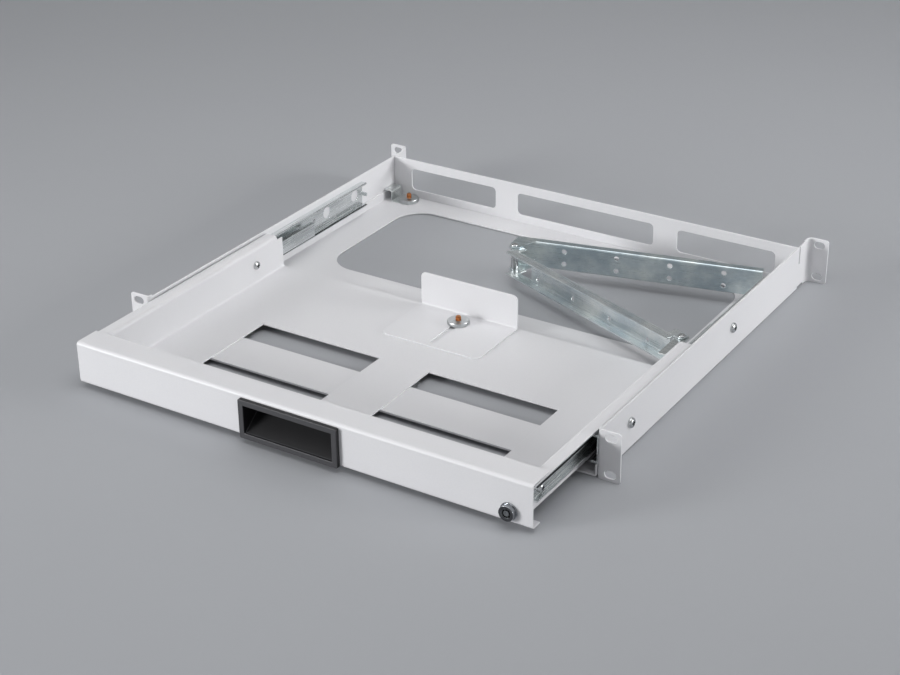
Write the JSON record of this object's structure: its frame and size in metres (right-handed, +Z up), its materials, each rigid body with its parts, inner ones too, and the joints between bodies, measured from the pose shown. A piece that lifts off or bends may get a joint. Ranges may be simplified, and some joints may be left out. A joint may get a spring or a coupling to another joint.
{
  "type": "rack keyboard drawer",
  "caption": "Flat sheet-steel rack drawer for a keyboard on ball slides, with recessed pull, key lock, adjustable keyboard stop and a folding cable arm.",
  "frame": {"origin": "middle of the four front ear slots, on the front face of the ears", "axes": "+X to the right seen from the front, +Y back into the rack, +Z up"},
  "size_m": [0.4826, 0.512, 0.044],
  "materials": {
    "powder_coat": "fine satin powder coat",
    "zinc_plate": "zinc plated",
    "slide_steel": "zinc plated",
    "bright_steel": "bright plated",
    "nut_steel": "nickel plated",
    "copper_plate": "copper plated",
    "black_plastic": "fine grained satin",
    "lock_chrome": "polished",
    "lock_plug": "satin"
  },
  "bodies": {
    "chassis": {"chassis_floor": "powder_coat", "rear_panel": "powder_coat", "left_side_plate": "powder_coat", "right_side_plate": "powder_coat", "left_outer_rail": "slide_steel", "right_outer_rail": "slide_steel", "chassis_rail_screws": "bright_steel", "clip_stud": "copper_plate", "cable_clip": "zinc_plate", "arm_wall_bracket": "zinc_plate", "wall_bracket_rivets": "bright_steel"},
    "drawer": {"drawer_tray": "powder_coat", "front_panel": "powder_coat", "floor_strap": "powder_coat", "pull_cup": "black_plastic", "lock_body": "lock_chrome", "lock_nut": "bright_steel", "left_inner_rail": "slide_steel", "right_inner_rail": "slide_steel", "drawer_rail_screws": "bright_steel", "stop_stud": "copper_plate", "arm_drawer_bracket": "zinc_plate", "drawer_bracket_rivets": "bright_steel", "arm_drawer_pin": "bright_steel"},
    "left_cage": {"left_ball_cage": "slide_steel", "left_balls": "bright_steel"},
    "right_cage": {"right_ball_cage": "slide_steel", "right_balls": "bright_steel"},
    "lock": {"lock_plug": "lock_plug", "lock_cam": "bright_steel", "cam_screw": "bright_steel"},
    "stop": {"keyboard_stop": "powder_coat"},
    "stop_nut": {"stop_nut": "nut_steel"},
    "clip_nut": {"clip_nut": "nut_steel"},
    "front_arm": {"front_arm_link": "zinc_plate", "elbow_spacer": "zinc_plate"},
    "rear_arm": {"rear_arm_link": "zinc_plate", "elbow_pin": "bright_steel", "arm_wall_pin": "bright_steel"}
  },
  "joints": [
    {"name": "drawer_slide", "type": "slide", "parent": "chassis", "child": "drawer", "axis": [0, -1, 0], "range_m": [-0.095, 0.15]},
    {"name": "left_cage_slide", "type": "slide", "parent": "chassis", "child": "left_cage", "axis": [0, -1, 0], "range_m": [-0.0475, 0.075]},
    {"name": "right_cage_slide", "type": "slide", "parent": "chassis", "child": "right_cage", "axis": [0, -1, 0], "range_m": [-0.0475, 0.075]},
    {"name": "lock_turn", "type": "hinge", "parent": "drawer", "child": "lock", "pos_m": [0.199, -0.09, -0.0074], "axis": [0, -1, 0], "range_deg": [0, 90]},
    {"name": "stop_slide", "type": "slide", "parent": "drawer", "child": "stop", "axis": [0, 1, 0], "range_m": [-0.005, 0.02]},
    {"name": "stop_nut_turn", "type": "hinge", "parent": "drawer", "child": "stop_nut", "pos_m": [0, 0.1545, -0.012], "axis": [0, 0, 1], "continuous": true},
    {"name": "clip_nut_turn", "type": "hinge", "parent": "chassis", "child": "clip_nut", "pos_m": [-0.196, 0.374, -0.018], "axis": [0, 0, 1], "continuous": true},
    {"name": "arm_drawer_hinge", "type": "hinge", "parent": "drawer", "child": "front_arm", "pos_m": [0.2015, 0.186, 0.002], "axis": [0, 0, 1], "range_deg": [-19.81, 12.55]},
    {"name": "arm_elbow_hinge", "type": "hinge", "parent": "front_arm", "child": "rear_arm", "pos_m": [-0.01003, 0.27001, 0.002], "axis": [0, 0, 1], "range_deg": [-26.7, 42.15]}
  ],
  "couplings": [
    {"joint": "left_cage_slide", "follows": "drawer_slide", "ratio": 0.5},
    {"joint": "right_cage_slide", "follows": "drawer_slide", "ratio": 0.5},
    {"joint": "arm_drawer_hinge", "follows": "drawer_slide", "rad_per_m": -2.304},
    {"joint": "arm_elbow_hinge", "follows": "drawer_slide", "rad_per_m": 4.904}
  ]
}
